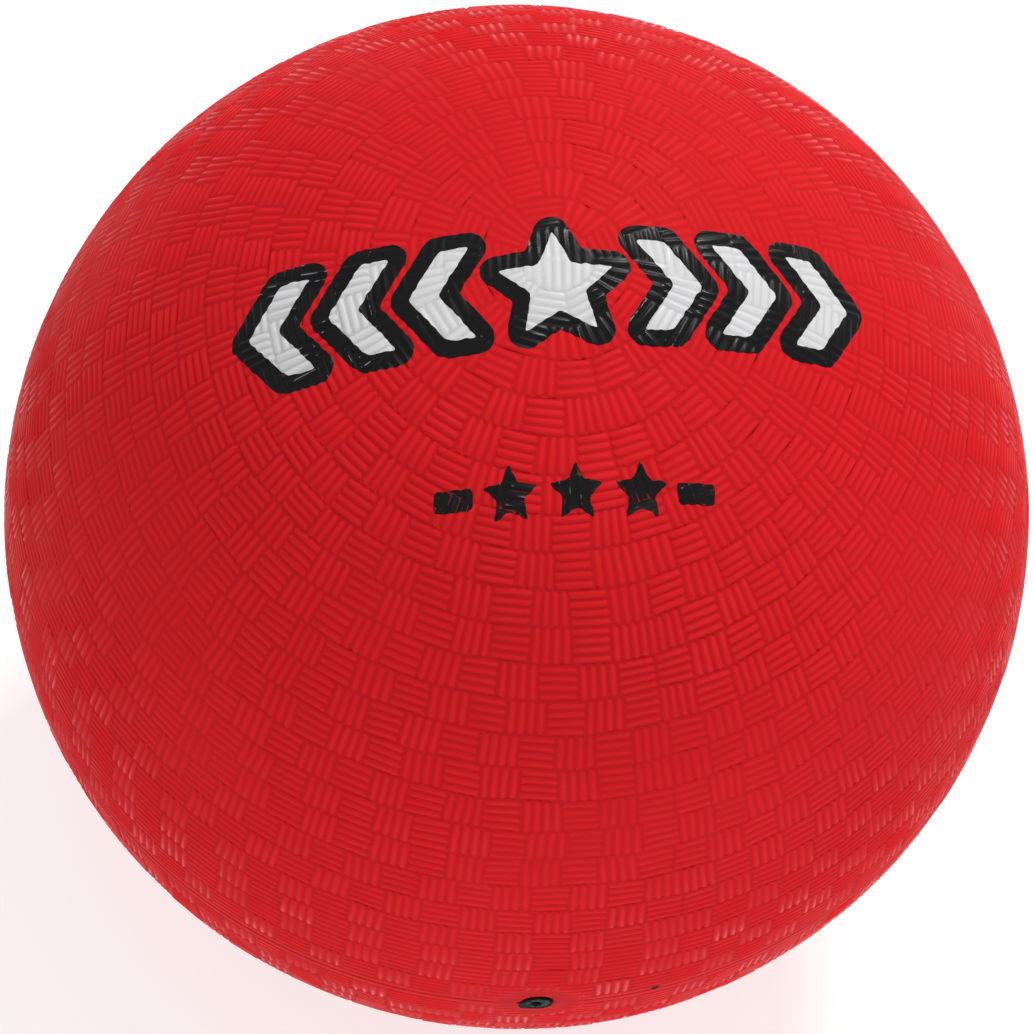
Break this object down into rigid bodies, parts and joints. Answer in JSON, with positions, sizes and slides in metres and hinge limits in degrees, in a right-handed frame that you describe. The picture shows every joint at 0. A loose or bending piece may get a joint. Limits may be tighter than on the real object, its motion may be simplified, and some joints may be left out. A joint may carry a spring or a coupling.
{
  "type": "playground rubber ball",
  "caption": "Inflated moulded rubber ball with a basket-weave grip texture, a needle valve in its parting line and a printed star and chevron band.",
  "frame": {"origin": "centre of the ball", "axes": "+Z through the pole of the weave, on the printed side; the mould's parting plane at Z = 0; -Y out along the valve's axis"},
  "size_m": [0.2159, 0.2158, 0.2161],
  "materials": {
    "cover_rubber": "satin",
    "nylon_thread": "matte",
    "butyl_rubber": "matte",
    "valve_rubber": "satin",
    "plug_rubber": "matte",
    "white_ink": "satin",
    "black_ink": "satin"
  },
  "bodies": {
    "ball": {"cover_upper": "cover_rubber", "cover_lower": "cover_rubber", "thread_winding": "nylon_thread", "bladder": "butyl_rubber", "valve_housing": "valve_rubber", "print_white": "white_ink", "print_black": "black_ink", "size_marks": "black_ink"},
    "plug": {"valve_plug": "plug_rubber"}
  },
  "joints": [
    {"name": "plug_slide", "type": "slide", "parent": "ball", "child": "plug", "axis": [0, -1, 0], "range_m": [0, 0.02]}
  ]
}
